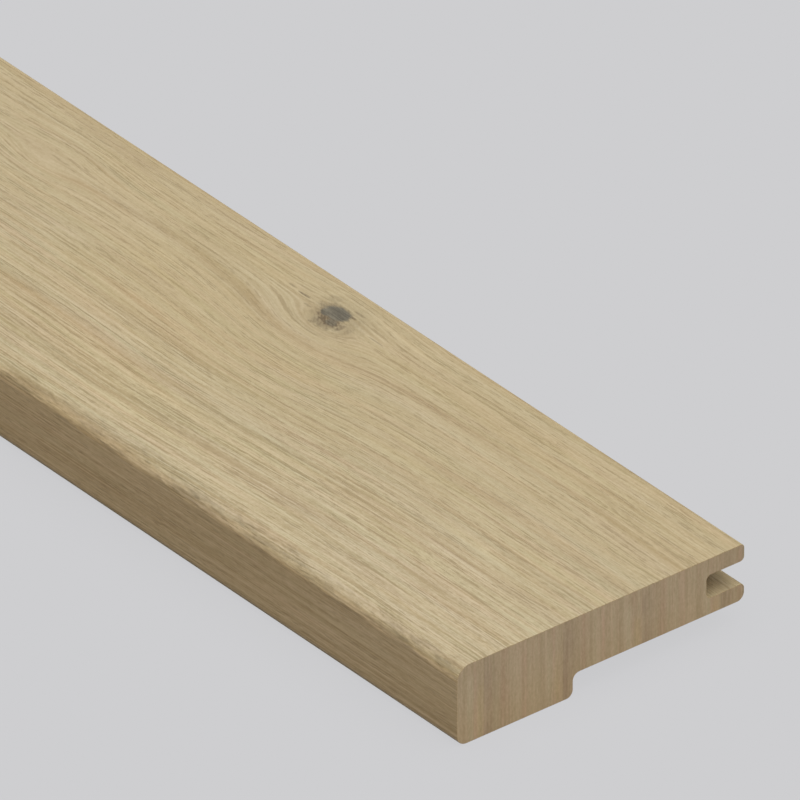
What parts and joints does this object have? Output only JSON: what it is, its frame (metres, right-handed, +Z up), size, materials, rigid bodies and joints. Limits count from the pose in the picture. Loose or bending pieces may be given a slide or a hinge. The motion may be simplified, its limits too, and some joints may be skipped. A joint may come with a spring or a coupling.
{
  "type": "flush stair nosing",
  "caption": "Solid oak flush stair nosing: a rounded nose overhangs the step edge and a grooved back edge takes the tongue of the adjoining floorboard.",
  "frame": {"origin": "middle of the footprint, level with the underside of the nose", "axes": "+X along the board, -Y towards the front of the step, +Z up through the walking surface"},
  "size_m": [1.2192, 0.0888, 0.0223],
  "materials": {
    "oak": "planed oak with a thin matt seal, open grain"
  },
  "bodies": {
    "root": {"stair_nosing": "oak"}
  },
  "joints": []
}
